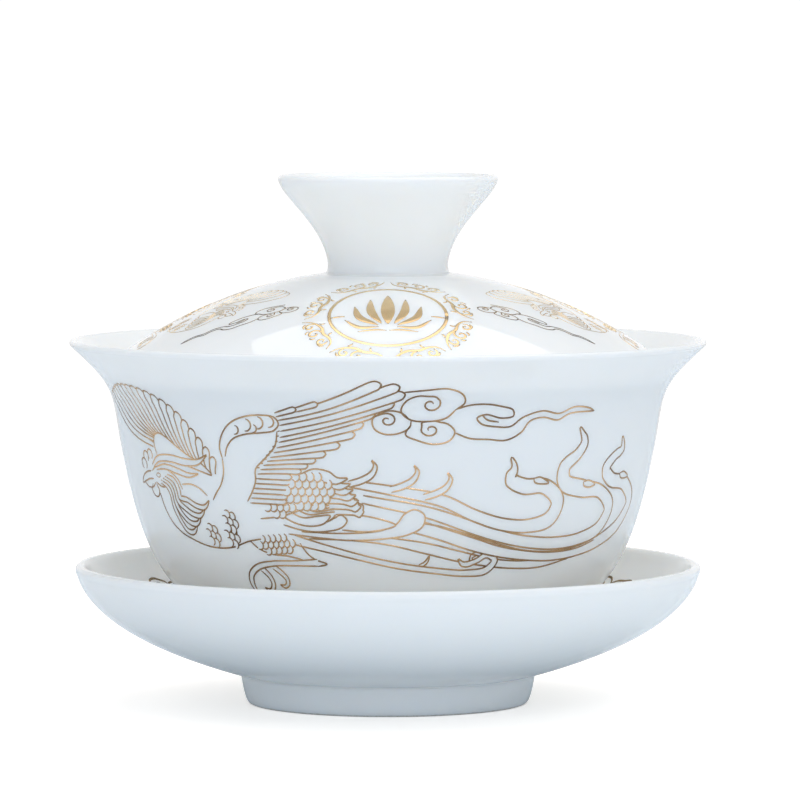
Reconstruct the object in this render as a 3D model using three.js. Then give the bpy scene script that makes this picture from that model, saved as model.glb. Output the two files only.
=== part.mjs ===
// A three-piece gaiwan: a covered porcelain tea bowl.
// The saucer stands on its foot ring, the flared bowl stands in the saucer's well,
// and the domed lid rests inside the bowl's flare. Every piece is turned about +Z.
// Millimetres, +Z up, origin at the centre of the saucer's foot, on the table.
import * as THREE from "three";

// Driving dimensions of the whole set
const SEGMENTS = 40; // facets round every piece
const CONTACT_GAP = 0.1; // clearance left where one piece rests on another
const FOOT_EDGE = 0.4; // how far a foot's flat ring stays inside its outer face

// Saucer
const SAUCER_RADIUS = 49.2; // to the outer face just below the lip
const SAUCER_LIP_HEIGHT = 20.9;
const SAUCER_LIP_WALL = 1.6;
const SAUCER_WALL = 2.4; // near the foot
const SAUCER_FOOT_RADIUS = 22.2;
const SAUCER_FOOT_HEIGHT = 4.6;
const SAUCER_FOOT_FLAT = 1.7; // width of the flat ring that meets the table
const WELL_RADIUS = 22.4; // the recess that holds the bowl's foot
const WELL_FLOOR = 6.4;
const WELL_RIDGE_RADIUS = 24.9;
const FLOOR_WALL = 2.6; // thickness of the saucer's middle

// Bowl, in its own frame with its foot at height 0
const BOWL_RADIUS = 49.9; // to the outer face just below the lip
const BOWL_LIP_HEIGHT = 49.95;
const BOWL_LIP_WALL = 1;
const BOWL_WALL = 2.6; // near the foot
const BOWL_WAIST_RADIUS = 41.3; // where the belly turns into the flare
const BOWL_WAIST_HEIGHT = 31;
const BOWL_FOOT_RADIUS = 21;
const BOWL_FOOT_HEIGHT = 4.3;
const BOWL_FOOT_FLAT = 1.6;
const BOWL_RECESS = 2; // depth of the hollow inside the foot ring
const BOWL_FLOOR = 4.6; // height of the inside at the axis

// Lid, in its own frame with the centre of its rounded edge at height 0
const LID_RADIUS = 44.15;
const LID_WALL = 2.1;
const DOME_RADIUS = 72; // outer sphere of the dome
const NECK_RADIUS = 9.45; // the knob's narrowest place
const NECK_FILLET = 0.3;
const KNOB_RADIUS = 17.2; // to the outer face just below the lip
const KNOB_LIP_HEIGHT = 13.65; // above the top of the dome's sphere
const KNOB_LIP_WALL = 1.5;
const CUP_FLOOR_RADIUS = 5.5;
const CUP_FLOOR_HEIGHT = 2.6; // above the top of the dome's sphere

const point = (r, z) => new THREE.Vector2(r, z);
const bezier = (...points) => new THREE.CubicBezierCurve(...points);

// An arc about (r, z) between two angles in radians, 0 pointing outwards and PI/2 up.
function arc(r, z, radius, from, to) {
  return new THREE.EllipseCurve(r, z, radius, radius, from, to, to < from);
}

// A half circle that rounds the end of a wall, from one of its faces to the other.
function rounded(from, to) {
  const middle = from.clone().add(to).divideScalar(2);
  const across = from.clone().sub(middle);
  return arc(middle.x, middle.y, across.length(), across.angle(), across.angle() + Math.PI);
}

// The far face of a wall: each point of the near face moved to the left of its travel,
// by a thickness that runs evenly from one value to another.
function offset(points, from, to) {
  return points.map((p, i) => {
    const before = points[Math.max(i - 1, 0)];
    const after = points[Math.min(i + 1, points.length - 1)];
    const travel = after.clone().sub(before).normalize();
    const thickness = THREE.MathUtils.lerp(from, to, i / (points.length - 1));
    return point(p.x - travel.y * thickness, p.y + travel.x * thickness);
  });
}

// Joins stretches end to end into one outline, and drops points that repeat.
function outline(...stretches) {
  const points = stretches.flat();
  return points.filter((p, i) => i === 0 || p.distanceTo(points[i - 1]) > 1e-3);
}

// Turns an outline of radius and height about the Z axis.
function turned(name, points, material) {
  const geometry = new THREE.LatheGeometry(points, SEGMENTS);
  geometry.rotateX(Math.PI / 2);
  const mesh = new THREE.Mesh(geometry, material);
  mesh.name = name;
  return mesh;
}

// A foot ring seen from the axis outwards: hollow, flat ring, then its outer face.
function footRing(hollowHeight, radius, flat, top) {
  const outer = radius - FOOT_EDGE;
  const inner = outer - flat;
  const hollow = bezier(
    point(inner - 2.4, hollowHeight),
    point(inner - 1, hollowHeight),
    point(inner - 0.5, hollowHeight - 0.4),
    point(inner - FOOT_EDGE, 0.6),
  );
  const outside = bezier(
    point(radius, FOOT_EDGE),
    point(radius + 0.7, top.y * 0.4),
    point(radius + 0.8, top.y * 0.8),
    top,
  );
  return [
    point(0, hollowHeight + 0.2),
    ...hollow.getPoints(3),
    point(inner, 0),
    point(outer, 0),
    ...outside.getPoints(4),
  ];
}

// The saucer's outline, from the middle of its underside round to the middle of its well.
function saucerOutline() {
  const shoulder = point(SAUCER_FOOT_RADIUS + 1.1, SAUCER_FOOT_HEIGHT);
  const underside = bezier(
    shoulder,
    point(35.7, 8.1),
    point(47.2, 13.1),
    point(SAUCER_RADIUS, SAUCER_LIP_HEIGHT),
  ).getPoints(11);
  const dish = offset(underside, SAUCER_WALL, SAUCER_LIP_WALL).reverse();
  const ridge = dish.filter((p) => p.x > WELL_RIDGE_RADIUS);
  const wellWall = bezier(
    ridge.at(-1),
    point(WELL_RADIUS + 1.8, WELL_FLOOR + 1.3),
    point(WELL_RADIUS + 1, WELL_FLOOR + 0.7),
    point(WELL_RADIUS, WELL_FLOOR),
  );
  return outline(
    footRing(WELL_FLOOR - FLOOR_WALL - 0.2, SAUCER_FOOT_RADIUS, SAUCER_FOOT_FLAT, shoulder),
    underside,
    rounded(underside.at(-1), dish[0]).getPoints(4),
    ridge,
    wellWall.getPoints(3),
    point(0, WELL_FLOOR),
  );
}

// The outer face of the bowl's wall, from the top of its foot to its lip.
function bowlWall() {
  const waist = point(BOWL_WAIST_RADIUS, BOWL_WAIST_HEIGHT);
  const belly = bezier(
    point(BOWL_FOOT_RADIUS + 1.2, BOWL_FOOT_HEIGHT),
    point(34, 9.8),
    point(38.1, 15.2),
    waist,
  );
  const flare = bezier(
    waist,
    point(44, 43),
    point(41.6, 42.4),
    point(BOWL_RADIUS, BOWL_LIP_HEIGHT),
  );
  return outline(belly.getPoints(8), flare.getPoints(7));
}

// The bowl's outline, from the middle of its underside round to the middle of its floor.
function bowlOutline() {
  const wall = bowlWall();
  const inside = offset(wall, BOWL_WALL, BOWL_LIP_WALL).reverse();
  const edge = inside.at(-1);
  const floor = bezier(edge, point(edge.x - 5, edge.y - 2), point(8, BOWL_FLOOR), point(0, BOWL_FLOOR));
  return outline(
    footRing(BOWL_RECESS, BOWL_FOOT_RADIUS, BOWL_FOOT_FLAT, wall[0]),
    wall,
    rounded(wall.at(-1), inside[0]).getPoints(4),
    inside,
    floor.getPoints(4),
  );
}

// Height in the bowl's frame at which the lid's edge comes to rest in the flare.
function restHeight() {
  const clear = LID_WALL / 2 + CONTACT_GAP;
  const path = offset(bowlWall(), BOWL_WALL + clear, BOWL_LIP_WALL + clear);
  const radius = LID_RADIUS - LID_WALL / 2;
  const above = path.findIndex((p) => p.x > radius);
  const [low, high] = [path[above - 1], path[above]];
  return THREE.MathUtils.mapLinear(radius, low.x, high.x, low.y, high.y);
}

// The lid's outline, from the middle of its hollow round to the middle of the knob's cup.
function lidOutline() {
  const slope = Math.acos((LID_RADIUS - LID_WALL / 2) / (DOME_RADIUS - LID_WALL / 2));
  const centre = -(DOME_RADIUS - LID_WALL / 2) * Math.sin(slope);
  const top = centre + DOME_RADIUS;
  const fillet = Math.acos((NECK_RADIUS + NECK_FILLET) / DOME_RADIUS);
  const hollow = arc(0, centre, DOME_RADIUS - LID_WALL, Math.PI / 2, slope).getPoints(8);
  const dome = arc(0, centre, DOME_RADIUS, slope, fillet).getPoints(8);
  const knob = bezier(
    point(NECK_RADIUS, top + 0.4),
    point(NECK_RADIUS + 0.2, top + 6.2),
    point(KNOB_RADIUS - 0.7, top + 11),
    point(KNOB_RADIUS, top + KNOB_LIP_HEIGHT),
  ).getPoints(8);
  const cup = bezier(
    offset(knob, KNOB_LIP_WALL, KNOB_LIP_WALL).at(-1),
    point(KNOB_RADIUS - 3, top + 10),
    point(CUP_FLOOR_RADIUS + 2, top + 6.5),
    point(CUP_FLOOR_RADIUS + 1, top + CUP_FLOOR_HEIGHT + 1.2),
  ).getPoints(5);
  return outline(
    hollow,
    rounded(hollow.at(-1), dome[0]).getPoints(5),
    dome,
    knob,
    rounded(knob.at(-1), cup[0]).getPoints(4),
    cup,
    point(CUP_FLOOR_RADIUS, top + CUP_FLOOR_HEIGHT + 0.2),
    point(0, top + CUP_FLOOR_HEIGHT),
  );
}

const glaze = new THREE.MeshStandardMaterial({ color: 0xe9eef2, roughness: 0.12, metalness: 0 });

const gaiwan = new THREE.Group();

const saucer = turned("saucer", saucerOutline(), glaze);
gaiwan.add(saucer);

const bowl = turned("bowl", bowlOutline(), glaze);
bowl.position.z = WELL_FLOOR + CONTACT_GAP;
gaiwan.add(bowl);

// The lid is the bowl's child, because it is carried with the bowl.
const lid = turned("lid", lidOutline(), glaze);
lid.position.z = restHeight();
bowl.add(lid);

export default gaiwan;
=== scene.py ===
"""A gilded porcelain gaiwan: a flared bowl, its domed lid and its footed saucer.

The porcelain is turned from the outlines of the CAD nodes, made finer. The fired gold drawings
are thin raised ribbons laid on the glaze. A drawing's points are in millimetres: on the bowl
they are the distance round it and the height, on the lid and the saucer they are the places
seen from above.
"""
import math

import bpy
import numpy as np
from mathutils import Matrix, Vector


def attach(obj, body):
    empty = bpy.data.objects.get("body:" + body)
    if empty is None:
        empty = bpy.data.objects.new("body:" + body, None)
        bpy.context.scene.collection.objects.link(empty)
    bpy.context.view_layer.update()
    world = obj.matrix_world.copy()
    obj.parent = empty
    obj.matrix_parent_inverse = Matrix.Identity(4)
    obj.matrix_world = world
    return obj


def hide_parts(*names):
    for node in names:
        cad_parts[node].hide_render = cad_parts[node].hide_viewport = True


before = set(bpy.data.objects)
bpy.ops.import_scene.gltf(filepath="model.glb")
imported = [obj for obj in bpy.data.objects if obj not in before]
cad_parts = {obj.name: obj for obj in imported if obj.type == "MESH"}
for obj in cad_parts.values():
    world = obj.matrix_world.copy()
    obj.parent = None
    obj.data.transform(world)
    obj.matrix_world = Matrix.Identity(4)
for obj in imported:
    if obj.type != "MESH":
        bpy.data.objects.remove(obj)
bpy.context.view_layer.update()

MM = 0.001

# Turned porcelain
SEGMENTS = 256  # round each turned piece
OUTLINE_STEPS = 4  # new steps in one step of a CAD outline
LONG_STEP = 8  # length in mm from which a step of a CAD outline gets more
LONG_STEP_STEPS = 10
UNEVEN = 3  # a stretch this many times as long as its neighbour is kept straight
FOOT_BAND = 0.3  # height of the unglazed band of a foot ring, in mm

# Gold lines
LINE = 0.36  # width of a drawn gold line on the bowl, in mm
FINE_LINE = 0.2  # width of the thinnest line of a small drawing, in mm
PROUD = 0.02  # how far the gold stands above the glaze, in mm
SUNK = 0.05  # how far its edges reach below the glaze, in mm
DRAW_STEP = 0.12  # length of one step along a drawn line, in mm
RIBBON_STEP = 3  # drawn steps in each straight piece of a ribbon
RIBBON_TOP = 0.6  # breadth of a ribbon's flat top, as a part of its whole width

# Parts of a drawing
STREAMER_STEP = 8  # drawn steps between two points of a streamer's edge
STREAMER_TIP = 0.15  # how far a streamer's point reaches past its middle line, in mm
CURL_POINTS = 9  # points in one turn of a scroll
CURL_CLOSING = 0.78  # how much of its radius a scroll loses on the way in
SCALE_AHEAD = 1.2  # spacing of rows of scales, in radii of one scale
SCALE_ACROSS = 1.7  # spacing of scales in a row, in radii of one scale


# ---------------------------------------------------------------- curves

def smooth(points, steps):
    """A centripetal Catmull-Rom curve through points. A stretch gets steps(its length) parts."""
    p = np.asarray(points, float)
    p = p[np.append(True, np.linalg.norm(np.diff(p[:, :2], axis=0), axis=1) > 1e-6)]
    p = np.vstack([2 * p[0] - p[1], p, 2 * p[-1] - p[-2]])
    made = [p[1]]
    for a, b, c, d in zip(p, p[1:], p[2:], p[3:]):
        ta = 0.0
        tb = ta + math.sqrt(math.dist(a[:2], b[:2]))
        tc = tb + math.sqrt(math.dist(b[:2], c[:2]))
        td = tc + math.sqrt(math.dist(c[:2], d[:2]))
        count = steps(math.dist(b[:2], c[:2]))
        for t in np.linspace(tb, tc, count + 1)[1:]:
            ab = ((tb - t) * a + (t - ta) * b) / (tb - ta)
            bc = ((tc - t) * b + (t - tb) * c) / (tc - tb)
            cd = ((td - t) * c + (t - tc) * d) / (td - tc)
            abc = ((tc - t) * ab + (t - ta) * bc) / (tc - ta)
            bcd = ((td - t) * bc + (t - tb) * cd) / (td - tb)
            made.append(((tc - t) * abc + (t - tb) * bcd) / (tc - tb))
    return np.array(made)


def drawn(points):
    """A smooth drawn line through points."""
    return smooth(points, lambda length: max(1, math.ceil(length / DRAW_STEP)))


def normals(points):
    """The unit normal to the left of a line's travel, at each of its points."""
    travel = np.gradient(points, axis=0)
    travel /= np.maximum(np.linalg.norm(travel, axis=1), 1e-9)[:, None]
    return np.column_stack([-travel[:, 1], travel[:, 0]])


# ---------------------------------------------------------------- turned porcelain

def cad_outline(node):
    """The turned outline of a CAD node in mm, as radius and height, read off the edges of its
    mesh that lie in the half plane through +X, from the lower point on the axis to the upper."""
    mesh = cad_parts[node].data
    tiny = 1e-5
    near = {}
    for v in mesh.vertices:
        if abs(v.co.y) < tiny and v.co.x > -tiny:
            near[v.index] = (round(v.co.x / MM, 3), round(v.co.z / MM, 3))
    joined = {}
    for edge in mesh.edges:
        a, b = (near.get(i) for i in edge.vertices)
        if a and b and a != b:
            joined.setdefault(a, set()).add(b)
            joined.setdefault(b, set()).add(a)
    here = min(p for p in joined if abs(p[0]) < tiny / MM)
    line = [here]
    while True:
        onward = joined[here] - set(line)
        if not onward:
            return np.array(line)
        here = min(onward, key=lambda p: math.dist(p, here))
        line.append(here)


def guarded(points):
    """Adds a point where a long straight stretch meets a short one, so the curve stays straight."""
    lengths = [math.dist(a, b) for a, b in zip(points, points[1:])]
    made = [points[0]]
    for i, length in enumerate(lengths):
        a, b = points[i], points[i + 1]
        before = lengths[i - 1] if i else length
        after = lengths[i + 1] if i + 1 < len(lengths) else length
        if length > UNEVEN * before:
            made.append(a + (b - a) * before / length)
        if length > UNEVEN * after:
            made.append(b + (a - b) * after / length)
        made.append(b)
    return np.array(made)


def fine_outline(node):
    """The CAD outline as a smooth curve that stays inside the node's own box."""
    rough = cad_outline(node)
    fine = smooth(guarded(rough), lambda length: OUTLINE_STEPS if length < LONG_STEP else LONG_STEP_STEPS)
    fine[:, 0] = np.clip(fine[:, 0], 0, rough[:, 0].max())
    fine[:, 1] = np.clip(fine[:, 1], rough[:, 1].min(), rough[:, 1].max())
    return fine


def turned(name, outline, foot=None):
    """A mesh turned about +Z from an outline. Faces below foot, a height, get the second material."""
    angles = np.linspace(0, 2 * math.pi, SEGMENTS, endpoint=False)
    inner = outline[1:-1]
    rings = np.stack([
        np.outer(inner[:, 0], np.cos(angles)),
        np.outer(inner[:, 0], np.sin(angles)),
        np.repeat(inner[:, 1:], SEGMENTS, axis=1),
    ], axis=-1).reshape(-1, 3)
    poles = np.array([[0, 0, outline[0][1]], [0, 0, outline[-1][1]]])
    first, last = len(rings), len(rings) + 1
    final = (len(inner) - 1) * SEGMENTS
    faces = []
    for j in range(SEGMENTS):
        k = (j + 1) % SEGMENTS
        faces.append((first, k, j))
        for i in range(0, final, SEGMENTS):
            faces.append((i + j, i + k, i + SEGMENTS + k, i + SEGMENTS + j))
        faces.append((final + j, final + k, last))
    mesh = bpy.data.meshes.new(name)
    mesh.from_pydata((np.vstack([rings, poles]) * MM).tolist(), [], faces)
    for face in mesh.polygons:
        face.use_smooth = True
        if foot is not None:
            face.material_index = int(face.center.z / MM < foot)
    piece = bpy.data.objects.new(name, mesh)
    bpy.context.scene.collection.objects.link(piece)
    return piece


# ---------------------------------------------------------------- gold lines

class Wall:
    """The outside of the bowl, unrolled: u is the distance round it, v the height."""

    RADIUS = 42.0  # where u is a true distance

    def __init__(self, outline, low):
        top = int(np.argmax(outline[:, 1]))
        side = outline[:top]
        self.side = side[side[:, 1] > low]
        self.slope = np.gradient(self.side[:, 0], self.side[:, 1])

    def place(self, points, lift):
        u, v = points[:, 0], points[:, 1]
        slope = np.interp(v, self.side[:, 1], self.slope)
        across = np.sqrt(1 + slope ** 2)
        r = np.interp(v, self.side[:, 1], self.side[:, 0]) + lift / across
        z = v - lift * slope / across
        angle = u / self.RADIUS
        return np.column_stack([r * np.sin(angle), -r * np.cos(angle), z])


class Dome:
    """A face that is seen from above: u is towards +X and v towards +Y."""

    def __init__(self, outline):
        order = np.argsort(outline[:, 0])
        self.face = outline[order]
        self.slope = np.gradient(self.face[:, 1], self.face[:, 0])

    def place(self, points, lift):
        r = np.hypot(points[:, 0], points[:, 1])
        slope = np.interp(r, self.face[:, 0], self.slope)
        across = np.sqrt(1 + slope ** 2)
        z = np.interp(r, self.face[:, 0], self.face[:, 1]) + lift / across
        out = (r - lift * slope / across) / r
        return np.column_stack([points[:, 0] * out, points[:, 1] * out, z])


def ribbon(line, surface):
    """One closed raised ribbon along a line of (u, v, width), as vertices and faces."""
    line = np.vstack([line[:-2:RIBBON_STEP], line[-1:]])
    along, half = line[:, :2], line[:, 2:] / 2
    left = normals(along)
    columns = ((-1, -SUNK), (-RIBBON_TOP, PROUD), (RIBBON_TOP, PROUD), (1, -SUNK))
    verts = np.stack([surface.place(along + left * half * side, lift) for side, lift in columns], 1)
    count = len(line)
    faces = []
    for i in range(count - 1):
        a, b = 4 * i, 4 * i + 4
        faces += [(a + c, a + (c + 1) % 4, b + (c + 1) % 4, b + c) for c in range(4)]
    end = 4 * (count - 1)
    faces += [(3, 2, 1, 0), (end, end + 1, end + 2, end + 3)]
    return verts.reshape(-1, 3), faces


def gilding(name, lines, surface, body, gold):
    """One piece of gold, made of all the lines of a drawing, riding on a body."""
    verts, faces, start = [], [], 0
    for line in lines:
        more, quads = ribbon(line, surface)
        verts.append(more)
        faces += [tuple(start + i for i in quad) for quad in quads]
        start += len(more)
    mesh = bpy.data.meshes.new(name)
    mesh.from_pydata((np.vstack(verts) * MM).tolist(), [], faces)
    mesh.polygons.foreach_set("use_smooth", [True] * len(mesh.polygons))
    mesh.materials.append(gold)
    piece = bpy.data.objects.new(name, mesh)
    bpy.context.scene.collection.objects.link(piece)
    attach(piece, body)


# ---------------------------------------------------------------- drawing kit

class Drawing:
    """Lines laid down from the front to the back. What an earlier shape covers is left out."""

    def __init__(self):
        self.lines = []
        self.covers = []

    def add(self, *lines, covering=None):
        for line in lines:
            self.lines += self.uncovered(line)
        if covering is not None:
            self.covers.append(covering[:, :2])

    def shape(self, line):
        """A line that also covers what comes after it, as if its two ends were joined."""
        self.add(line, covering=line)

    def uncovered(self, line):
        """The stretches of a line that lie outside every cover."""
        free = np.ones(len(line), bool)
        for cover in self.covers:
            free &= ~inside(line[:, :2], cover)
        cuts = np.flatnonzero(np.diff(free.astype(int))) + 1
        stretches = np.split(line, cuts)
        return [part for part, seen in zip(stretches, np.split(free, cuts)) if seen[0] and len(part) > 3]


def inside(points, loop):
    """Which points lie inside a closed loop."""
    result = np.zeros(len(points), bool)
    near = np.all((points > loop.min(0)) & (points < loop.max(0)), axis=1)
    if near.any():
        u, v = points[near, 0, None], points[near, 1, None]
        a, b = loop, np.roll(loop, -1, axis=0)
        spans = (a[:, 1] > v) != (b[:, 1] > v)
        rise = np.where(b[:, 1] == a[:, 1], 1.0, b[:, 1] - a[:, 1])
        crossing = a[:, 0] + (v - a[:, 1]) / rise * (b[:, 0] - a[:, 0])
        result[near] = np.sum(spans & (u < crossing), axis=1) % 2 == 1
    return result


def pen(points, width=LINE):
    """A line of even width that thins at its two ends."""
    line = drawn(points)
    run = np.concatenate([[0], np.cumsum(np.linalg.norm(np.diff(line, axis=0), axis=1))])
    ends = np.minimum(run, run[-1] - run) / (1.5 * width)
    return np.column_stack([line, width * np.clip(0.5 + 0.5 * ends, 0, 1)])


def leaf(points, width, fullest=0.5):
    """A solid gold shape: a line that swells to width part of the way along and ends in points."""
    line = drawn(points)
    t = np.linspace(0, 1, len(line))
    t = np.where(t < fullest, t / (2 * fullest), 0.5 + (t - fullest) / (2 * (1 - fullest)))
    return np.column_stack([line, width * (0.06 + 0.94 * np.sin(math.pi * t) ** 0.8)])


def streamer(points):
    """The outline of a band given by its middle line and breadth, open where the band starts."""
    line = drawn(points)
    middle = line[:, :2]
    side = normals(middle) * line[:, 2:] / 2
    left, right = middle + side, middle - side
    travel = middle[-1] - middle[-4]
    point = middle[-1] + STREAMER_TIP * travel / np.linalg.norm(travel)
    out, back = left[::STREAMER_STEP], right[::-STREAMER_STEP]
    return pen(np.vstack([out, left[-1:], [point], right[-1:], back, right[:1]]))


def plume(base, tip, root, breadth, bend=0.0):
    """The outline of one feather with a round tip. Its breadth grows from root; bend bows it."""
    base, tip = np.asarray(base, float), np.asarray(tip, float)
    length = math.dist(base, tip)
    ahead = (tip - base) / length
    left = np.array([-ahead[1], ahead[0]])
    cap = 0.8 * breadth  # length of the round tip
    reach = 1 - cap / length

    def edge(side):
        stations = np.linspace(0, reach, 5)
        half = side * (root + (breadth - root) * stations ** 0.8) / 2
        bow = bend * np.sin(math.pi * stations)
        return [base + ahead * length * t + left * (b + h) for t, b, h in zip(stations, bow, half)]

    end = base + ahead * length * reach + left * bend * math.sin(math.pi * reach)
    turn = [end + ahead * cap * math.sin(a) + left * breadth / 2 * math.cos(a)
            for a in np.radians((35, 90, 145))]
    return pen([*edge(1), *turn, *edge(-1)[::-1]])


def arc(u, v, radius, start, end, count):
    """Points on an arc about (u, v) between two angles in degrees."""
    angles = np.radians(np.linspace(start, end, count))
    return [(u + radius * math.cos(a), v + radius * math.sin(a)) for a in angles]


def part_way(line, t):
    """The point of a drawn line that lies a part t of the way along it."""
    return line[int(t * (len(line) - 1))]


def scroll(centre, radius, start, turns, tail=(), squash=1.0, width=LINE):
    """A spiral that winds in to its centre from an angle in degrees, after an optional tail."""
    count = max(6, int(abs(turns) * CURL_POINTS))
    points = [tuple(p) for p in tail]
    for i in range(count + 1):
        t = i / count
        angle = math.radians(start) + turns * 2 * math.pi * t
        r = radius * (1 - CURL_CLOSING * t)
        points.append((centre[0] + r * math.cos(angle), centre[1] + squash * r * math.sin(angle)))
    return pen(points, width)


def scales(drawing, middle, reach, size, facing):
    """Fills an ellipse with overlapping scales whose round edges face an angle in degrees."""
    f = math.radians(facing)
    ahead = np.array([math.cos(f), math.sin(f)])
    across = np.array([-math.sin(f), math.cos(f)])
    rows = int(max(reach) / size) + 1
    columns = int(max(reach) / size / SCALE_ACROSS) + 1
    angles = np.radians(np.linspace(-95, 95, 9))
    edge = size * (np.outer(np.cos(angles), ahead) + np.outer(np.sin(angles), across))
    for j in range(-rows, rows + 1):
        for i in range(-columns, columns + 1):
            down, over = j * size * SCALE_AHEAD, (i + 0.5 * (j % 2)) * size * SCALE_ACROSS
            centre = np.asarray(middle) + ahead * down + across * over
            if np.hypot(*((centre - middle) / reach)) < 1:
                drawing.shape(pen(centre + edge))


# ---------------------------------------------------------------- the long-tailed bird

def near_wing(d, coarse):
    """The raised wing: long primaries above, shorter feathers stepping down below them."""
    for u, v, size in (
        (-18.2, 46.8, 0.85), (-20.1, 46.6, 0.95), (-22.2, 46.2, 0.95), (-20.9, 45.7, 0.6),
        (-24.2, 45.4, 0.7),
    ):
        d.add(pen(arc(u, v, size, -100, 80, 7)))
    d.shape(pen([
        (-27.0, 40.9), (-27.3, 42.6), (-26.6, 44.6), (-24.9, 46.4), (-22.2, 47.5), (-19.2, 47.8),
        (-17.2, 47.5), (-16.6, 46.5), (-17.4, 45.5), (-19.4, 45.1), (-22.2, 44.8), (-24.6, 44.0),
        (-25.9, 42.6), (-26.4, 41.2),
    ]))
    d.add(pen([
        (-16.9, 45.4), (-17.4, 43.2), (-19.1, 41.3), (-21.1, 39.4), (-21.3, 37.6), (-22.2, 35.8),
        (-23.2, 34.4),
    ]))
    for u, v, length in ((-17.0, 47.9, 3.4), (-13.8, 48.7, 3.6)):
        d.shape(plume((u, v), (u + length, v + 0.3 * length), 0.6, 0.9))
    tips = [
        (-1.0, 53.1), (1.6, 52.6), (2.4, 51.4), (0.9, 50.0), (-1.9, 48.4), (-3.6, 46.8),
        (-4.9, 45.2), (-7.2, 43.5), (-9.4, 42.1), (-11.0, 41.1), (-12.3, 40.2), (-13.4, 39.3),
    ][::coarse]
    bases = drawn([
        (-16.8, 47.5), (-16.5, 46.2), (-16.7, 44.8), (-17.2, 43.4), (-18.4, 41.8), (-19.8, 40.4),
        (-20.8, 39.2),
    ])
    for i, tip in enumerate(tips):
        t = i / (len(tips) - 1)
        base = part_way(bases, t)
        breadth = (1.6 - 0.65 * t) * coarse ** 0.5
        d.shape(plume(base, tip, 0.95 * coarse, breadth, bend=0.1 - 0.8 * (1 - t) ** 2))
    scales(d, (-12.6, 36.3), (4.1, 2.7), 0.8 * coarse ** 0.5, -35)
    for i in range(0, 6, coarse):
        v = 38.5 - 0.76 * i
        d.shape(plume((-21.1 - 0.32 * i, v), (-15.0 - 0.25 * i, v - 0.1), 1.0 * coarse, 1.0 * coarse))


def far_wing(d, coarse):
    """The wing behind the body, spread up and to the left as a fan of feathers."""
    d.shape(pen([
        (-42.4, 40.6), (-42.8, 42.2), (-42.4, 43.6), (-41.2, 44.1), (-39.2, 43.6), (-36.6, 42.2),
        (-34.2, 41.0), (-31.6, 39.9), (-29.6, 38.2), (-31.6, 38.6), (-36.0, 39.6), (-40.4, 40.0),
    ]))
    tips = drawn([
        (-28.6, 41.0), (-30.2, 42.9), (-33.2, 45.8), (-36.6, 48.5), (-40.6, 50.3), (-45.5, 51.3),
        (-51.5, 51.2), (-58.0, 49.6),
    ])
    bases = drawn([
        (-29.2, 38.0), (-31.4, 39.6), (-34.4, 41.0), (-37.4, 42.4), (-40.0, 43.4), (-42.2, 43.4),
        (-42.9, 42.2),
    ])
    feathers = 19 // coarse
    for i in range(feathers):
        t = (i / (feathers - 1)) ** 0.95
        tip, base = part_way(tips, t), part_way(bases, t)
        d.shape(plume(base, tip, 0.75 * coarse, (1.5 + 0.9 * t) * coarse, bend=0.3 + 0.9 * t))


def flank(d):
    """The scaled flank and the soft feathers over the root of the tail."""
    scales(d, (-17.6, 33.7), (2.4, 1.1), 0.72, -35)
    for i in range(7):
        u, v = -12.8 + 0.85 * i, 39.0 - 0.85 * i
        d.shape(pen([
            (u - 0.8, v - 0.1), (u + 1.4, v + 0.75), (u + 3.8, v + 0.35),
            (u + 5.0 - 0.2 * i, v - 0.5), (u + 6.6 - 0.45 * i, v - 0.6),
            (u + 5.0 - 0.3 * i, v - 1.5), (u + 2.4, v - 1.2), (u - 0.6, v - 1.1),
        ]))
    d.add(pen([(-21.2, 31.8), (-17.6, 32.3), (-13.4, 33.6), (-10.6, 34.9), (-8.6, 36.4)]))
    for i in range(5):
        u, v = -15.6 + 1.0 * i, 32.4 + 0.5 * i
        d.shape(pen([
            (u - 1.6, v - 0.1), (u + 0.6, v - 1.1), (u + 3.0, v - 1.5), (u + 5.4, v - 1.0),
            (u + 6.4, v + 0.2), (u + 4.4, v + 0.1), (u + 2.0, v - 0.2), (u, v + 0.5),
        ]))


def leg(d):
    """A bent leg with a scaled thigh and curled claws."""
    scales(d, (-19.2, 27.9), (3.4, 1.3), 0.68, -30)
    d.shape(streamer([
        (-12.0, 25.2, 1.1), (-16.0, 25.0, 0.8), (-20.4, 24.8, 0.8), (-23.6, 24.1, 0.9),
        (-25.5, 22.7, 0.9), (-25.9, 21.0, 0.8), (-25.2, 19.6, 0.1),
    ]))
    d.shape(streamer([
        (-20.4, 24.3, 0.8), (-19.0, 23.3, 0.8), (-18.2, 22.1, 0.7), (-18.9, 21.2, 0.6),
        (-19.9, 21.4, 0.1),
    ]))
    d.shape(streamer([
        (-22.8, 23.9, 0.9), (-21.6, 22.7, 0.8), (-21.4, 21.3, 0.7), (-22.4, 20.4, 0.6),
        (-23.4, 20.8, 0.1),
    ]))
    d.add(pen([(-23.9, 28.2), (-22.3, 27.0), (-20.0, 26.3), (-17.2, 26.1), (-14.6, 25.6)]))
    d.add(pen([(-14.7, 28.2), (-13.6, 26.6), (-12.4, 25.7), (-10.4, 25.0), (-12.0, 24.6)]))


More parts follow.
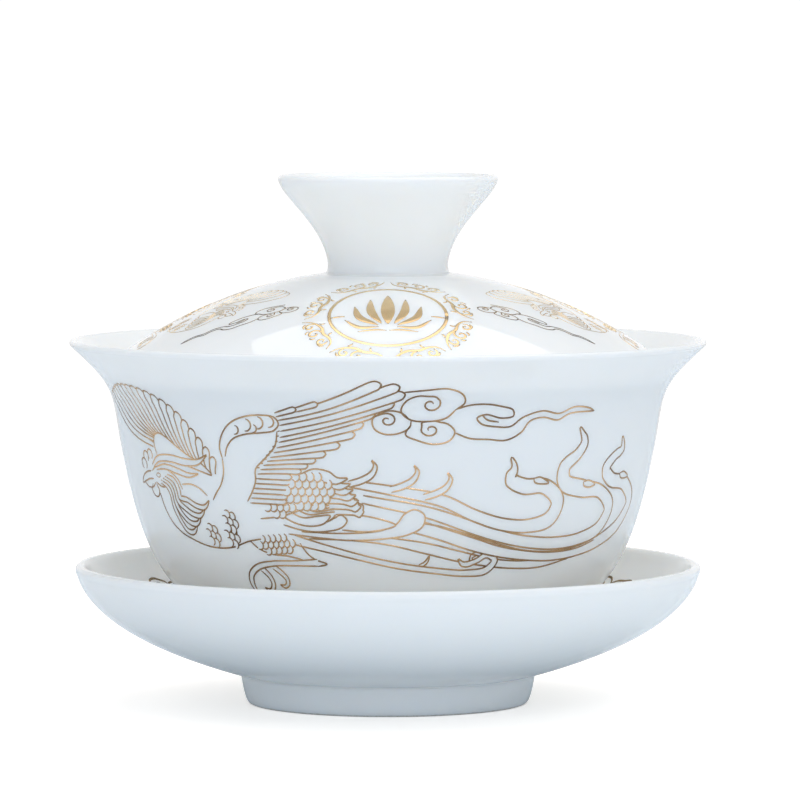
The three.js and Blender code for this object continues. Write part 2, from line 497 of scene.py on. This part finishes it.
def tail(d):
    """Long streamers that sweep right, turn up and end in flame-shaped tips."""
    # two broad feathers under the root
    d.shape(pen([
        (-17.2, 31.0), (-13.8, 30.2), (-10.4, 30.1), (-7.4, 30.8), (-6.5, 31.9), (-7.6, 32.8),
        (-9.2, 31.9), (-11.6, 31.2), (-14.8, 31.3),
    ]))
    d.shape(pen([(-6.4, 32.9), (-2.4, 32.4), (1.2, 31.2), (-2.8, 30.2), (-7.4, 30.4)]))
    d.shape(pen([
        (-14.2, 30.0), (-6.4, 29.9), (-1.0, 30.4), (1.4, 31.4), (2.6, 32.9), (4.2, 33.6),
        (5.8, 32.7), (5.6, 31.0), (3.2, 29.7), (-0.4, 29.1), (-6.0, 28.8), (-11.0, 29.1),
        (-16.5, 29.6),
    ]))
    # hooked sprigs along the upper edge
    for u, v in ((-3.4, 38.4), (3.0, 37.6), (8.2, 36.4)):
        d.shape(streamer([
            (u - 2.6, v - 0.9, 0.9), (u - 0.6, v - 0.3, 1.0), (u + 0.9, v + 0.6, 0.9),
            (u + 1.5, v + 1.9, 0.5), (u + 1.0, v + 2.7, 0.1),
        ]))
    # small folds where the streamers turn over
    for u, v, lean in ((25.2, 37.6, -0.5), (35.6, 36.6, -0.2), (45.4, 37.4, -0.3)):
        d.shape(pen([
            (u - 1.5, v + 0.3), (u - 0.3, v + 0.5), (u + 1.5, v + lean), (u + 0.2, v - 0.6),
            (u - 1.2, v - 0.3), (u - 1.5, v + 0.3),
        ]))
    d.shape(streamer([
        (-6.0, 37.6, 1.0), (2.0, 36.3, 1.5), (8.5, 34.9, 1.8), (14.0, 32.5, 1.8), (19.0, 31.0, 1.9),
        (24.0, 30.6, 2.1), (28.0, 31.6, 2.6), (29.0, 34.2, 2.5), (26.0, 36.6, 2.3),
        (22.0, 36.8, 2.4), (19.5, 38.1, 2.0), (20.1, 39.7, 1.1), (19.4, 41.2, 0.3),
    ]))
    d.shape(streamer([
        (-4.0, 35.2, 1.2), (6.0, 33.2, 1.7), (14.0, 30.6, 1.9), (19.0, 29.1, 1.8),
        (24.0, 28.1, 1.8), (30.0, 27.6, 1.9), (36.0, 28.0, 2.0), (40.8, 29.5, 2.4),
        (42.4, 32.4, 2.5), (39.0, 35.1, 2.0), (34.0, 35.9, 2.7), (29.9, 37.1, 2.6),
        (29.5, 39.4, 2.3), (32.0, 41.4, 1.8), (33.1, 43.2, 1.5), (31.8, 45.4, 0.3),
    ]))
    d.add(pen([
        (5.0, 31.9), (14.0, 29.1), (19.0, 27.6), (24.0, 26.7), (30.0, 26.2), (36.0, 26.5),
        (40.4, 27.5),
    ]))
    d.shape(streamer([
        (2.0, 31.3, 1.4), (8.0, 30.0, 2.0), (14.0, 28.2, 2.2), (19.0, 26.9, 1.9), (24.0, 26.0, 1.5),
        (30.0, 25.6, 1.5), (36.0, 26.0, 1.6), (42.0, 27.3, 2.1), (47.6, 29.7, 2.4),
        (49.8, 33.0, 2.3), (46.2, 36.0, 2.2), (41.4, 36.9, 2.2), (39.4, 38.6, 2.1),
        (41.2, 40.5, 1.6), (43.3, 41.6, 1.3), (42.8, 43.4, 0.3),
    ]))
    d.shape(streamer([
        (-15.6, 28.7, 1.5), (-10.0, 27.4, 1.1), (-4.0, 26.0, 0.9), (2.0, 24.8, 0.9),
        (8.0, 24.0, 0.9), (13.6, 23.5, 1.0), (17.4, 23.9, 1.2), (18.6, 25.4, 1.1),
        (17.0, 26.3, 0.9), (15.2, 25.4, 0.8), (13.0, 24.9, 0.8), (12.0, 25.7, 0.2),
    ]))
    d.add(streamer([(15.2, 26.6, 0.6), (14.0, 25.9, 0.6), (14.8, 25.2, 0.5), (16.0, 25.6, 0.1)]))
    d.shape(streamer([(5.4, 24.7, 0.6), (6.4, 25.3, 0.5), (6.9, 26.3, 0.1)]))
    d.shape(streamer([
        (-13.0, 29.3, 0.7), (-6.0, 29.2, 0.8), (0.0, 28.7, 1.1), (6.0, 27.6, 1.6),
        (12.0, 26.2, 1.6), (17.0, 25.2, 1.3), (22.0, 24.6, 1.2), (28.0, 24.5, 1.2),
        (34.4, 25.1, 0.3),
    ]))


def head(d):
    """A small head looking left, with a comb, a wattle, a long crest and neck feathers."""
    d.shape(pen([(-43.9, 37.4), (-43.2, 37.8), (-42.4, 37.5), (-43.1, 37.1), (-43.9, 37.4)], 0.22))
    d.add(leaf([(-43.4, 37.45), (-42.9, 37.45)], 0.4))
    d.shape(pen([
        (-45.3, 38.0), (-47.2, 37.7), (-48.9, 36.9), (-49.7, 35.9), (-48.0, 36.3), (-46.4, 36.7),
        (-45.0, 36.8),
    ]))
    d.add(pen([(-49.0, 36.3), (-47.4, 35.4), (-45.6, 35.5), (-44.6, 36.2)]))
    for u, v, size in ((-47.4, 39.0, 0.9), (-46.3, 40.2, 0.85), (-44.8, 40.6, 0.8)):
        d.shape(pen(arc(u, v, size, -60, 240, 9)))
        d.add(scroll((u, v), 0.4 * size, 0, -0.7))
    d.shape(pen([
        (-45.6, 36.0), (-46.3, 35.0), (-45.6, 34.1), (-44.4, 34.1), (-43.8, 35.1), (-44.4, 36.0),
    ]))
    # the crest: long tapered plumes that stream back from the crown
    d.shape(streamer([
        (-44.4, 38.8, 0.5), (-42.4, 40.0, 0.9), (-38.8, 40.3, 1.1), (-35.0, 39.9, 1.1),
        (-32.2, 40.1, 0.8), (-30.2, 41.2, 0.1),
    ]))
    d.shape(streamer([
        (-43.4, 38.5, 0.4), (-40.6, 38.9, 0.8), (-37.4, 38.4, 0.9), (-34.8, 37.9, 0.7),
        (-32.6, 38.2, 0.1),
    ]))
    # cheek and neck feathers with hooked tips
    for i in range(4):
        u, v = -38.6 - 0.7 * i, 36.9 - 0.35 * i
        end = (-31.4 - 1.3 * i, 33.6 - 1.35 * i)
        d.shape(streamer([
            (u - 2.0, v + 0.6, 0.5), (u - 0.3, v, 0.8), (u + 0.5, v - 1.2, 0.9),
            (u + 0.7, v - 2.7 - 0.2 * i, 0.9), (u + 2.0, end[1] + 0.5, 0.8),
            (end[0] - 2.4, end[1] - 0.5, 0.8), (end[0] - 0.8, end[1] - 0.5, 0.7),
            (end[0] + 0.3, end[1] + 0.5, 0.1),
        ]))
    d.add(pen([(-45.0, 38.0), (-43.6, 38.7), (-41.4, 38.7), (-39.2, 38.1), (-37.6, 37.0), (-36.9, 35.6)]))
    d.add(pen([(-44.4, 36.3), (-42.8, 35.7), (-41.2, 35.8), (-40.0, 36.4)]))


def body(d):
    """Breast, belly and back."""
    for middle in ((-31.7, 28.7), (-27.4, 31.0), (-27.6, 28.7)):
        scales(d, middle, (1.5, 1.5), 0.72, 20)
    front = [
        (-44.4, 35.4), (-43.6, 34.2), (-43.2, 32.6), (-42.0, 30.5), (-39.8, 28.8), (-36.6, 27.7),
        (-33.6, 27.0), (-30.6, 26.8), (-27.6, 27.1), (-24.0, 28.2), (-19.0, 29.0),
    ]
    d.add(pen(front))
    d.add(pen([(-27.0, 40.9), (-27.1, 38.8), (-27.9, 36.9), (-29.2, 35.4), (-30.1, 34.3)]))
    d.add(pen([(-36.8, 36.4), (-34.4, 36.5), (-32.6, 35.9), (-31.2, 34.9)]))
    back = [
        (-14.0, 33.0), (-20.0, 40.0), (-27.0, 40.9), (-28.6, 38.4), (-36.0, 38.4), (-41.0, 38.6),
        (-45.0, 38.0),
    ]
    d.add(covering=drawn(front + back))


def bird(coarse=1):
    """The whole bird. Its wings have one broad feather for every so many fine ones."""
    d = Drawing()
    near_wing(d, coarse)
    flank(d)
    leg(d)
    tail(d)
    head(d)
    body(d)
    far_wing(d, coarse)
    return d.lines


def cloud():
    """Three rolled cloud heads with a trailing wisp to the right."""
    d = Drawing()
    d.add(scroll((6.2, 49.7), 1.7, 110, -1.25, tail=[
        (10.0, 48.9), (8.6, 47.6), (6.0, 47.1), (3.2, 47.4), (1.9, 48.7), (2.6, 50.2), (4.2, 51.0),
    ], squash=0.8))
    d.add(scroll((-0.1, 47.3), 1.4, 120, -1.2, tail=[
        (3.4, 47.2), (3.2, 46.2), (1.6, 45.3), (-0.6, 45.2), (-2.1, 46.1), (-2.2, 47.6),
    ], squash=0.8))
    d.add(scroll((6.3, 45.8), 1.5, 150, 1.15, tail=[(6.2, 47.1), (5.0, 46.9)], squash=0.75))
    d.add(pen([(2.2, 51.6), (5.2, 51.9), (8.6, 52.1), (10.8, 51.1), (11.2, 49.9), (10.0, 48.9)]))
    d.add(pen([(-1.9, 47.9), (-0.2, 48.7), (1.8, 48.5), (3.1, 47.5)]))
    d.add(pen([
        (3.2, 46.4), (2.6, 45.1), (4.4, 44.2), (6.8, 43.6), (9.2, 44.1), (10.0, 45.4), (9.0, 46.6),
        (7.0, 47.1),
    ]))
    d.add(pen([
        (10.0, 48.9), (12.0, 49.5), (14.6, 49.6), (17.0, 49.2), (18.9, 48.6), (19.1, 47.7),
        (17.2, 47.4), (14.6, 48.0), (13.3, 47.5), (14.0, 46.6), (16.4, 46.1), (18.8, 46.1),
        (20.7, 47.4), (24.0, 48.3), (27.1, 47.8), (29.9, 48.7), (33.0, 48.4), (34.2, 47.9),
    ]))
    d.add(pen([(14.0, 48.0), (14.9, 47.2), (16.8, 46.8)]))
    d.add(pen([
        (10.0, 45.3), (12.4, 44.4), (15.2, 44.2), (18.2, 44.0), (20.6, 45.1), (22.0, 46.8),
        (24.2, 47.3), (27.0, 46.8), (29.2, 47.7), (34.2, 47.9),
    ]))
    return d.lines


# ---------------------------------------------------------------- the lid's medallion

RING_RADIUS = 9.0
RING_WIDTH = 0.75
FLOURISHES = 8
FLOURISH_RADIUS = 11.6


def blossom():
    """A lotus blossom in solid gold over still water, with a level line on either side."""
    lines = [leaf([(0, -3.4), (0, 1.4), (0, 6.2)], 3.0, 0.42)]
    for side in (-1, 1):
        for (u0, v0), (u1, v1), (u2, v2), breadth in (
            ((1.0, -3.3), (2.5, 0.2), (2.7, 4.7), 1.9),
            ((1.5, -3.7), (4.3, -1.3), (5.1, 2.4), 1.7),
            ((1.4, -4.2), (4.4, -4.1), (6.6, -1.7), 1.1),
            ((0.2, -5.2), (2.0, -5.0), (4.6, -5.3), 0.6),
        ):
            lines.append(leaf([(side * u0, v0), (side * u1, v1), (side * u2, v2)], breadth, 0.45))
        lines.append(pen([(side * 6.6, -0.6), (side * 7.4, -0.5), (side * 8.8, -0.6)], 0.6))
    return lines


def flourish():
    """A small gold cloud: three curls on a wavy stem, with commas between and tails at the ends."""
    stem = [
        (-4.5, 0.4), (-3.6, -0.7), (-2.2, -1.0), (-0.6, -0.7), (1.0, -1.1), (2.6, -0.8),
        (3.7, -0.2), (4.5, 0.7),
    ]
    lines = [
        leaf(stem, 0.75),
        scroll((-2.3, 0.25), 0.95, 230, -1.1, width=0.5),
        scroll((0.1, 0.5), 1.15, 250, 1.15, width=0.52),
        scroll((2.3, 0.3), 0.9, 290, 1.1, width=0.5),
    ]
    for u, v, lean in (
        (-1.1, 1.3, 0.7), (1.3, 1.4, -0.5), (-3.5, 0.9, 1.0), (3.5, 1.0, -1.1), (-1.2, -1.4, -0.5),
        (1.8, -1.5, 0.6),
    ):
        lines.append(leaf([(u, v - 0.5), (u + 0.25 * lean, v), (u + 0.9 * lean, v + 0.25)], 0.5, 0.4))
    return lines


def medallion():
    """The ring, the blossom inside it and the small clouds round it, about (0, 0)."""
    angles = np.linspace(0, 2 * math.pi, 145)
    width = np.full(len(angles), RING_WIDTH)
    ring = np.column_stack([RING_RADIUS * np.cos(angles), RING_RADIUS * np.sin(angles), width])
    lines = [ring] + blossom()
    for i in range(FLOURISHES):
        angle = 2 * math.pi * (i + 0.5) / FLOURISHES - math.pi / 2
        u, v = FLOURISH_RADIUS * math.cos(angle), FLOURISH_RADIUS * math.sin(angle)
        place = turned_by(angle - math.pi / 2, u, v)
        lines += moved(flourish(), place)
    return lines


# ---------------------------------------------------------------- placing drawings

def moved(lines, place):
    """Drawn lines, each changed by place."""
    return [place(line) for line in lines]


def turned_by(angle, u, v, size=1.0, origin=(0, 0), mirror=False, finest=FINE_LINE):
    """Sizes a drawing about its origin, mirrors it, turns it and moves its origin to (u, v)."""
    c, s = math.cos(angle), math.sin(angle)

    def place(line):
        across = (line[:, 0] - origin[0]) * (-size if mirror else size)
        up = (line[:, 1] - origin[1]) * size
        width = np.where(line[:, 2] > LINE, line[:, 2] * size, np.maximum(line[:, 2] * size, finest))
        return np.column_stack([c * across - s * up + u, s * across + c * up + v, width])

    return place


def along_wall(distance):
    """Moves a drawing round the bowl."""
    return lambda line: line + np.array([distance, 0, 0])


def in_band(azimuth, radius, middle, size, mirror=False, taller=1.0, finest=FINE_LINE):
    """Bends a drawing round the axis, its top towards the middle. middle is the point of the
    drawing that lands at azimuth and radius. size is its scale, and it is taller times as tall."""
    turn = -1 if mirror else 1

    def place(line):
        r = radius - (line[:, 1] - middle[1]) * size * taller
        angle = math.radians(azimuth) + turn * (line[:, 0] - middle[0]) * size / radius
        width = np.maximum(line[:, 2] * size, finest)
        return np.column_stack([r * np.cos(angle), r * np.sin(angle), width])

    return place


# ---------------------------------------------------------------- materials

def material(name):
    """A new material, its node tree and its shader."""
    made = bpy.data.materials.new(name)
    made.use_nodes = True
    tree = made.node_tree
    return made, tree, tree.nodes["Principled BSDF"]


def node(tree, kind, values=None, **settings):
    """A new node with its settings, and with values for its inputs."""
    made = tree.nodes.new(kind)
    for key, value in settings.items():
        setattr(made, key, value)
    for key, value in (values or {}).items():
        made.inputs[key].default_value = value
    return made


def noise(tree, size, detail=2.0, roughness=0.5):
    """Noise in object space whose features are about size mm across."""
    place = tree.nodes.get("Place") or node(tree, "ShaderNodeTexCoord", name="Place")
    values = {"Scale": 1 / (size * MM), "Detail": detail, "Roughness": roughness}
    made = node(tree, "ShaderNodeTexNoise", values)
    tree.links.new(place.outputs["Object"], made.inputs["Vector"])
    return made.outputs["Fac"]


def ramp(tree, source, stops):
    """A colour ramp. stops are pairs of position and colour."""
    made = node(tree, "ShaderNodeValToRGB")
    elements = made.color_ramp.elements
    for i, (position, colour) in enumerate(stops):
        element = elements[i] if i < len(elements) else elements.new(position)
        element.position = position
        element.color = (*colour, 1)
    tree.links.new(source, made.inputs["Fac"])
    return made.outputs["Color"]


def ranged(tree, source, low, high):
    """The source with its range from 0 to 1 mapped to low and high."""
    made = node(tree, "ShaderNodeMapRange", {"To Min": low, "To Max": high})
    tree.links.new(source, made.inputs["Value"])
    return made.outputs["Result"]


def bumped(tree, shader, layers):
    """Stacks bumps of (height source, height in mm) and feeds the last to the shader."""
    last = None
    for source, height in layers:
        bump = node(tree, "ShaderNodeBump", {"Strength": 1.0, "Distance": height * MM})
        tree.links.new(source, bump.inputs["Height"])
        if last:
            tree.links.new(last, bump.inputs["Normal"])
        last = bump.outputs["Normal"]
    tree.links.new(last, shader.inputs["Normal"])


def porcelain_material():
    """White porcelain under a clear glaze with a faint ripple."""
    made, tree, shader = material("glazed_porcelain")
    colour = ramp(tree, noise(tree, 14, 3), [(0.3, (0.955, 0.957, 0.922)), (0.7, (0.97, 0.969, 0.937))])
    tree.links.new(colour, shader.inputs["Base Color"])
    tree.links.new(ranged(tree, noise(tree, 6, 4), 0.03, 0.07), shader.inputs["Roughness"])
    shader.inputs["IOR"].default_value = 1.5
    shader.inputs["Subsurface Weight"].default_value = 0.6
    shader.inputs["Subsurface Radius"].default_value = (1.0, 0.9, 0.8)
    shader.inputs["Subsurface Scale"].default_value = 0.002
    bumped(tree, shader, [(noise(tree, 11, 1), 0.012), (noise(tree, 1.6, 2), 0.0004)])
    return made


def biscuit_material():
    """The ground foot: bare fired clay, matt and finely speckled."""
    made, tree, shader = material("unglazed_foot")
    colour = ramp(tree, noise(tree, 0.35, 4, 0.7), [(0.35, (0.60, 0.57, 0.52)), (0.6, (0.78, 0.76, 0.72))])
    tree.links.new(colour, shader.inputs["Base Color"])
    tree.links.new(ranged(tree, noise(tree, 0.8, 3), 0.6, 0.85), shader.inputs["Roughness"])
    bumped(tree, shader, [(noise(tree, 0.3, 4, 0.7), 0.012)])
    return made


def gold_material(name, dark, middle, bright):
    """Fired gold lustre whose colour goes at random between three tones, softly polished. In the darker
    copies the dark tones are painted shade and the bright orange patches are painted reflections of a warm
    lamp.
    """
    made, tree, shader = material(name)
    colour = ramp(tree, noise(tree, 12, 3, 0.6), [(0.36, dark), (0.5, middle), (0.62, bright)])
    tree.links.new(colour, shader.inputs["Base Color"])
    shader.inputs["Metallic"].default_value = 1.0
    tree.links.new(ranged(tree, noise(tree, 0.7, 3), 0.1, 0.22), shader.inputs["Roughness"])
    bumped(tree, shader, [(noise(tree, 0.25, 3), 0.002)])
    return made


def floor_material():
    """Plain white paper, lighter to the camera than in the light that it throws back."""
    made, tree, shader = material("white_paper")
    colour = ramp(tree, noise(tree, 3, 3), [(0, (0.94, 0.87, 0.81)), (1, (0.97, 0.9, 0.84))])
    tree.links.new(colour, shader.inputs["Base Color"])
    shader.inputs["Roughness"].default_value = 0.6
    shader.inputs["Emission Color"].default_value = (1, 1, 1, 1)
    shader.inputs["Emission Strength"].default_value = 0.46
    grey = node(tree, "ShaderNodeBsdfDiffuse", {"Color": (0.82, 0.88, 0.93, 1)})
    ray = node(tree, "ShaderNodeLightPath")
    mix = node(tree, "ShaderNodeMixShader")
    tree.links.new(ray.outputs["Is Camera Ray"], mix.inputs["Fac"])
    tree.links.new(grey.outputs["BSDF"], mix.inputs[1])
    tree.links.new(shader.outputs["BSDF"], mix.inputs[2])
    tree.links.new(mix.outputs["Shader"], tree.nodes["Material Output"].inputs["Surface"])
    return made


# ---------------------------------------------------------------- the porcelain

BOWL_DRAWING_LOW = 5  # height above the bowl's foot where its drawings may start, in mm
DISH_INNER_RADIUS = 26  # where the saucer's dish ends and its well begins, in mm
NECK_MARGIN = 1.0  # how far the lid's drawings stay from the knob's neck, in mm


def porcelain(name, outline, has_foot, glaze, biscuit):
    """One turned piece in place of its CAD node, with a bare band at its foot if it has one."""
    foot = outline[:, 1].min() + FOOT_BAND if has_foot else None
    piece = turned(name + "_porcelain", outline, foot)
    piece.data.materials.append(glaze)
    if has_foot:
        piece.data.materials.append(biscuit)
    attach(piece, name)
    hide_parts(name)


def dome_of_lid(outline):
    """The lid's outer face, from its edge to just short of the knob's neck."""
    top = int(np.argmax(outline[:, 1]))
    edge = int(np.argmax(outline[:top, 0]))
    neck = edge + int(np.argmin(outline[edge:top, 0]))
    face = outline[edge:neck]
    return Dome(face[face[:, 0] > face[:, 0].min() + NECK_MARGIN])


def dish_of_saucer(outline):
    """The saucer's inner face, from its lip to its well."""
    face = outline[int(np.argmax(outline[:, 1])):]
    return Dome(face[face[:, 0] > DISH_INNER_RADIUS])


glaze = porcelain_material()
biscuit = biscuit_material()
outlines = {name: fine_outline(name) for name in ("saucer", "bowl", "lid")}
for name, outline in outlines.items():
    porcelain(name, outline, name != "lid", glaze, biscuit)

bowl_side = Wall(outlines["bowl"], outlines["bowl"][:, 1].min() + BOWL_DRAWING_LOW)
lid_top = dome_of_lid(outlines["lid"])
dish = dish_of_saucer(outlines["saucer"])


# ---------------------------------------------------------------- the gilding

# Radii and line widths are in mm, and sizes are scales. A middle is the point of a drawing that
# lands at its radius.
BIRD_MIDDLE = (-4, 36)
LID_BIRD_RADIUS = 30
LID_BIRD_SIZE = 0.5
LID_BIRD_TALLER = 1.25
DISH_BIRD_RADIUS = 39
DISH_BIRD_SIZE = 0.45
MEDALLION_RADIUS = 28.0
LID_CLOUD_MIDDLE = (5, 48)
LID_CLOUD_RADIUS = 28.2
LID_CLOUD_SIZE = 0.5
LID_CLOUD_LINE = 0.28
DISH_CLOUD_MIDDLE = (12, 48)
DISH_CLOUD_RADIUS = 42.8
DISH_CLOUD_SIZE = 0.55
DISH_CLOUD_LINE = 0.45


def gild_bowl(gold):
    """A bird and a cloud on the front of the bowl, and again on its back."""
    half_round = math.pi * Wall.RADIUS
    for side, distance in (("front", 0.0), ("back", half_round)):
        place = along_wall(distance)
        gilding("gilt_bird_" + side, moved(bird(), place), bowl_side, "bowl", gold)
        gilding("gilt_cloud_" + side, moved(cloud(), place), bowl_side, "bowl", gold)


def gild_medallions(gold):
    """A medallion on the front of the lid, and another on its back."""
    for side, turn in (("front", 0.0), ("back", math.pi)):
        u, v = MEDALLION_RADIUS * math.sin(turn), -MEDALLION_RADIUS * math.cos(turn)
        gilding("gilt_medallion_" + side, moved(medallion(), turned_by(turn, u, v)), lid_top, "lid", gold)


def gild_small_birds(lid_gold, dish_gold):
    """Two small birds on the lid and two in the saucer, facing each other across the front."""
    small = bird(coarse=2)
    for side, lid_azimuth, dish_azimuth, mirror in (("right", 6, -24, False), ("left", 174, 204, True)):
        on_lid = in_band(lid_azimuth, LID_BIRD_RADIUS, BIRD_MIDDLE, LID_BIRD_SIZE, mirror, LID_BIRD_TALLER)
        on_dish = in_band(dish_azimuth, DISH_BIRD_RADIUS, BIRD_MIDDLE, DISH_BIRD_SIZE, mirror)
        gilding("gilt_lid_bird_" + side, moved(small, on_lid), lid_top, "lid", lid_gold)
        gilding("gilt_saucer_bird_" + side, moved(small, on_dish), dish, "saucer", dish_gold)


def gild_lid_clouds(gold):
    """A small cloud on either side of the front medallion."""
    lines = []
    for azimuth, lean, mirror in ((232, -6, True), (308, 6, False)):
        a = math.radians(azimuth)
        u, v = LID_CLOUD_RADIUS * math.cos(a), LID_CLOUD_RADIUS * math.sin(a)
        place = turned_by(math.radians(lean), u, v, LID_CLOUD_SIZE, LID_CLOUD_MIDDLE, mirror, LID_CLOUD_LINE)
        lines += moved(cloud(), place)
    gilding("gilt_lid_clouds", lines, lid_top, "lid", gold)


def gild_dish_clouds(gold):
    """A small cloud on either side of the saucer, towards its back."""
    lines = []
    for azimuth, mirror in ((34, True), (151, False)):
        place = in_band(
            azimuth, DISH_CLOUD_RADIUS, DISH_CLOUD_MIDDLE, DISH_CLOUD_SIZE, mirror, finest=DISH_CLOUD_LINE,
        )
        lines += moved(cloud(), place)
    gilding("gilt_saucer_clouds", lines, dish, "saucer", gold)


# Gold for the bowl and the saucer's small birds. Its dark brown is painted shade, and its bright orange
# patches are painted reflections of a warm lamp.
shaded_glinting_gold = gold_material("shaded_glinting_gold", (0.26, 0.16, 0.09), (0.50, 0.31, 0.16), (0.80, 0.52, 0.30))
full_gold = gold_material("full_gold", (0.62, 0.43, 0.22), (0.76, 0.56, 0.30), (0.88, 0.69, 0.40))
# A still darker copy of the gold for the small clouds on the lid and in the saucer: its darkness is painted
# shade.
painted_shade_gold = gold_material("painted_shade_gold", (0.16, 0.12, 0.08), (0.26, 0.19, 0.11), (0.42, 0.30, 0.17))
gild_bowl(shaded_glinting_gold)
gild_medallions(full_gold)
gild_small_birds(full_gold, shaded_glinting_gold)
gild_lid_clouds(painted_shade_gold)
gild_dish_clouds(painted_shade_gold)


# ---------------------------------------------------------------- stage, light and camera

MIX_FIRST, MIX_SECOND, MIX_RESULT = 6, 7, 2  # the colour sockets of a Mix node


def stage_floor():
    """A round sheet of white paper."""
    count, radius = 96, 0.45
    angles = [2 * math.pi * i / count for i in range(count)]
    rim = [(radius * math.cos(a), radius * math.sin(a), 0) for a in angles]
    mesh = bpy.data.meshes.new("floor")
    mesh.from_pydata(rim, [], [list(range(count))])
    mesh.materials.append(floor_material())
    floor = bpy.data.objects.new("floor", mesh)
    bpy.context.scene.collection.objects.link(floor)


def softbox(name, place, aim, size, radiance, colour=(1, 1, 1)):
    """An area light that the camera doesn't see, aimed at a point."""
    light = bpy.data.lights.new(name, "AREA")
    light.shape = "RECTANGLE"
    light.size, light.size_y = size
    light.energy = radiance * math.pi * size[0] * size[1]
    light.color = colour
    lamp = bpy.data.objects.new(name, light)
    lamp.location = place
    lamp.rotation_euler = (Vector(aim) - Vector(place)).to_track_quat("-Z", "Y").to_euler()
    lamp.visible_camera = False
    bpy.context.scene.collection.objects.link(lamp)


def greys(*stops):
    """The stops of a grey colour ramp, from pairs of position and level."""
    return [(position, (level, level, level)) for position, level in stops]


def sky():
    """White for the camera. Everything else sees a cool white room that dims towards its two
    sides and its ceiling, and is whitest at the back. Each ramp follows one axis of the direction
    looked in, from -1 to 1, and the three are multiplied."""
    sides = greys((0.0, 0.78), (0.3, 0.97), (0.5, 1.0), (0.7, 1.0), (1.0, 0.78))
    depths = [(0.0, (0.86, 0.94, 1.04)), (0.6, (0.88, 0.95, 1.03)), (0.85, (1.02, 1.02, 1.03))]
    levels = greys(
        (0.0, 0.75), (0.49, 0.75), (0.52, 0.98), (0.58, 0.94), (0.67, 0.68), (0.75, 0.5), (1.0, 0.42),
    )
    world = bpy.data.worlds.new("studio")
    world.use_nodes = True
    bpy.context.scene.world = world
    tree = world.node_tree
    tree.nodes.clear()
    place = node(tree, "ShaderNodeTexCoord")
    split = node(tree, "ShaderNodeSeparateXYZ")
    tree.links.new(place.outputs["Generated"], split.inputs["Vector"])
    colour = None
    for axis, stops in (("X", sides), ("Y", depths), ("Z", levels)):
        spot = node(tree, "ShaderNodeMapRange", {"From Min": -1.0, "From Max": 1.0})
        tree.links.new(split.outputs[axis], spot.inputs["Value"])
        tint = ramp(tree, spot.outputs["Result"], stops)
        if colour is None:
            colour = tint
            continue
        product = node(tree, "ShaderNodeMix", data_type="RGBA", blend_type="MULTIPLY")
        product.inputs["Factor"].default_value = 1.0
        tree.links.new(colour, product.inputs[MIX_FIRST])
        tree.links.new(tint, product.inputs[MIX_SECOND])
        colour = product.outputs[MIX_RESULT]
    room = node(tree, "ShaderNodeBackground")
    tree.links.new(colour, room.inputs["Color"])
    white = node(tree, "ShaderNodeBackground", {"Color": (1, 1, 1, 1), "Strength": 1.05})
    ray = node(tree, "ShaderNodeLightPath")
    mix = node(tree, "ShaderNodeMixShader")
    out = node(tree, "ShaderNodeOutputWorld")
    tree.links.new(ray.outputs["Is Camera Ray"], mix.inputs["Fac"])
    tree.links.new(room.outputs["Background"], mix.inputs[1])
    tree.links.new(white.outputs["Background"], mix.inputs[2])
    tree.links.new(mix.outputs["Shader"], out.inputs["Surface"])


def camera():
    """A long lens a little higher than the knob, looking slightly down at the bowl."""
    data = bpy.data.cameras.new("camera")
    data.lens = 272
    data.sensor_width = 36
    eye = Vector((0, -0.95, 0.1065))
    aim = Vector((0.0019, 0, 0.0477))
    made = bpy.data.objects.new("camera", data)
    made.location = eye
    made.rotation_euler = (aim - eye).to_track_quat("-Z", "Y").to_euler()
    bpy.context.scene.collection.objects.link(made)
    bpy.context.scene.camera = made


stage_floor()
sky()
softbox("overhead", (0.07, 0.1, 0.8), (0.07, 0.1, 0), (0.76, 1.0), 1.33, (1.0, 0.99, 0.975))
softbox("front", (0.0, -1.0, 0.3), (0, 0, 0.05), (0.9, 0.5), 1.05, (0.88, 0.945, 1.05))
for side, radiance in ((-1, 0.45), (1, 0.75)):
    softbox("side", (side * 0.75, 0.0, 0.75), (0, 0, 0.05), (0.8, 0.6), radiance, (0.99, 0.985, 0.98))
softbox("window", (0.42, -0.9, 0.8), (0, 0, 0.05), (0.2, 0.08), 14.0)
camera()

scene = bpy.context.scene
scene.view_settings.view_transform = "Standard"
scene.view_settings.look = "None"
